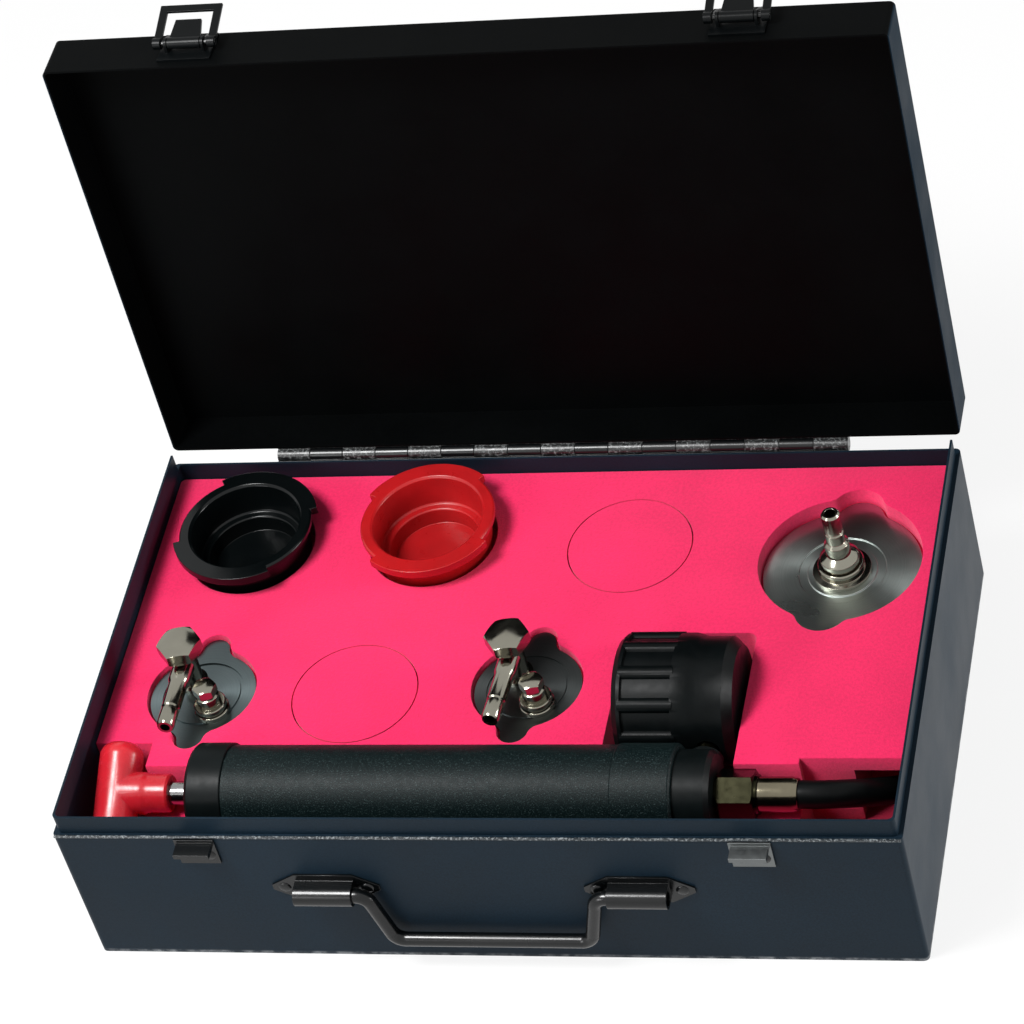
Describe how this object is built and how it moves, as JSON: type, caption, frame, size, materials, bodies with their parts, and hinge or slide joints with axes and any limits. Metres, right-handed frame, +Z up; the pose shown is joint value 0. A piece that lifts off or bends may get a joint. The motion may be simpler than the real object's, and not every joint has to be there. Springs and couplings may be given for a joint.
{
  "type": "radiator pressure tester",
  "caption": "Radiator pressure tester kit: hand pump with gauge, hose, cap cups and bayonet adapters, laid in die-cut foam in a hinged steel case with its lid open.",
  "frame": {"origin": "centre of the case's bottom face, on the surface it stands on", "axes": "+X along the case to the right as seen from its front, +Y to the rear where the hinge is, +Z up"},
  "size_m": [0.37, 0.2763, 0.3166],
  "materials": {
    "painted_steel": "semi-gloss black enamel",
    "bare_steel": "satin zinc",
    "foam": "open-cell polyurethane foam",
    "black_plastic": "satin",
    "rubber": "matte",
    "chrome": "satin nickel plate",
    "brass": "dull, slightly tarnished",
    "red_plastic": "satin moulded",
    "dial_white": "printed face",
    "pointer_black": "matte",
    "clear_lens": "clear"
  },
  "bodies": {
    "case": {"case_base": "painted_steel", "hinge_base_leaf": "painted_steel", "hinge_pin": "bare_steel", "keeper_left": "painted_steel", "keeper_right": "painted_steel", "keeper_rivets": "bare_steel", "handle_bracket_left": "painted_steel", "handle_bracket_right": "painted_steel", "handle_rivets": "bare_steel", "foam_base": "foam", "foam_deck": "foam", "hose": "rubber", "quick_coupler": "brass"},
    "lid": {"case_lid": "painted_steel", "hinge_lid_leaf": "painted_steel", "latch_bracket_left": "painted_steel", "latch_bracket_right": "painted_steel", "latch_pin_left": "bare_steel", "latch_pin_right": "bare_steel", "latch_rivets": "bare_steel"},
    "lever_left": {"latch_lever_left": "painted_steel"},
    "lever_right": {"latch_lever_right": "painted_steel"},
    "loop_left": {"latch_loop_left": "painted_steel"},
    "loop_right": {"latch_loop_right": "painted_steel"},
    "handle": {"carry_handle": "painted_steel"},
    "pump": {"pump_barrel": "black_plastic", "pump_rear_cap": "black_plastic", "pump_front_cap": "black_plastic", "pump_head": "black_plastic", "check_valve_disc": "rubber", "gauge_case": "bare_steel", "gauge_boot": "rubber", "gauge_stem": "brass", "gauge_dial": "dial_white", "gauge_lens": "clear_lens", "hose_nut": "brass", "hose_ferrule": "chrome"},
    "plunger": {"piston_rod": "chrome", "piston": "brass", "piston_cup_seal": "rubber", "t_handle": "red_plastic"},
    "needle": {"gauge_pointer": "pointer_black"},
    "cup_black": {"black_cup": "black_plastic"},
    "cup_red": {"red_cup": "red_plastic"},
    "adapter_large": {"large_adapter_plate": "chrome", "large_adapter_nipple": "chrome", "large_adapter_seal": "rubber"},
    "adapter_left": {"left_adapter_plate": "chrome", "left_adapter_coupler": "chrome", "left_adapter_relief_valve": "chrome", "left_adapter_seal": "rubber"},
    "adapter_right": {"right_adapter_plate": "chrome", "right_adapter_coupler": "chrome", "right_adapter_relief_valve": "chrome", "right_adapter_seal": "rubber"},
    "coupler_sleeve": {"quick_coupler_sleeve": "chrome"}
  },
  "joints": [
    {"name": "lid_hinge", "type": "hinge", "parent": "case", "child": "lid", "pos_m": [0, 0.116, 0.0794], "axis": [-1, 0, 0], "range_deg": [-92, 0]},
    {"name": "lever_left_turn", "type": "hinge", "parent": "lid", "child": "lever_left", "pos_m": [-0.121, 0.13461, 0.31139], "axis": [-1, 0, 0], "range_deg": [-165, 0]},
    {"name": "lever_right_turn", "type": "hinge", "parent": "lid", "child": "lever_right", "pos_m": [0.121, 0.13461, 0.31139], "axis": [-1, 0, 0], "range_deg": [-165, 0]},
    {"name": "loop_left_turn", "type": "hinge", "parent": "lid", "child": "loop_left", "pos_m": [-0.121, 0.13461, 0.31139], "axis": [-1, 0, 0], "range_deg": [-165, 0]},
    {"name": "loop_right_turn", "type": "hinge", "parent": "lid", "child": "loop_right", "pos_m": [0.121, 0.13461, 0.31139], "axis": [-1, 0, 0], "range_deg": [-165, 0]},
    {"name": "handle_swing", "type": "hinge", "parent": "case", "child": "handle", "pos_m": [0, -0.1174, 0.047], "axis": [-1, 0, 0], "range_deg": [0, 150]},
    {"name": "pump_tilt", "type": "hinge", "parent": "case", "child": "pump", "pos_m": [0.16, -0.075, 0.064], "axis": [0, 1, 0], "range_deg": [0, 85], "deforming": ["hose"]},
    {"name": "plunger_stroke", "type": "slide", "parent": "pump", "child": "plunger", "axis": [-1, 0, 0], "range_m": [0, 0.052]},
    {"name": "needle_turn", "type": "hinge", "parent": "pump", "child": "needle", "pos_m": [0.0607, -0.023, 0.064], "axis": [1, 0, 0], "range_deg": [0, 270], "stiffness_Nm_per_rad": 0.0004},
    {"name": "cup_black_lift", "type": "slide", "parent": "case", "child": "cup_black", "axis": [0, 0, 1], "range_m": [0, 0.06]},
    {"name": "cup_red_lift", "type": "slide", "parent": "case", "child": "cup_red", "axis": [0, 0, 1], "range_m": [0, 0.06]},
    {"name": "adapter_large_lift", "type": "slide", "parent": "case", "child": "adapter_large", "axis": [0, 0, 1], "range_m": [0, 0.06]},
    {"name": "adapter_left_lift", "type": "slide", "parent": "case", "child": "adapter_left", "axis": [0, 0, 1], "range_m": [0, 0.06]},
    {"name": "adapter_right_lift", "type": "slide", "parent": "case", "child": "adapter_right", "axis": [0, 0, 1], "range_m": [0, 0.06]},
    {"name": "coupler_sleeve_pull", "type": "slide", "parent": "case", "child": "coupler_sleeve", "axis": [1, 0, 0], "range_m": [0, 0.004], "stiffness_N_per_m": 800}
  ],
  "couplings": [
    {"joint": "plunger_stroke", "follows": "pump_tilt", "m_per_rad": 0.035}
  ]
}
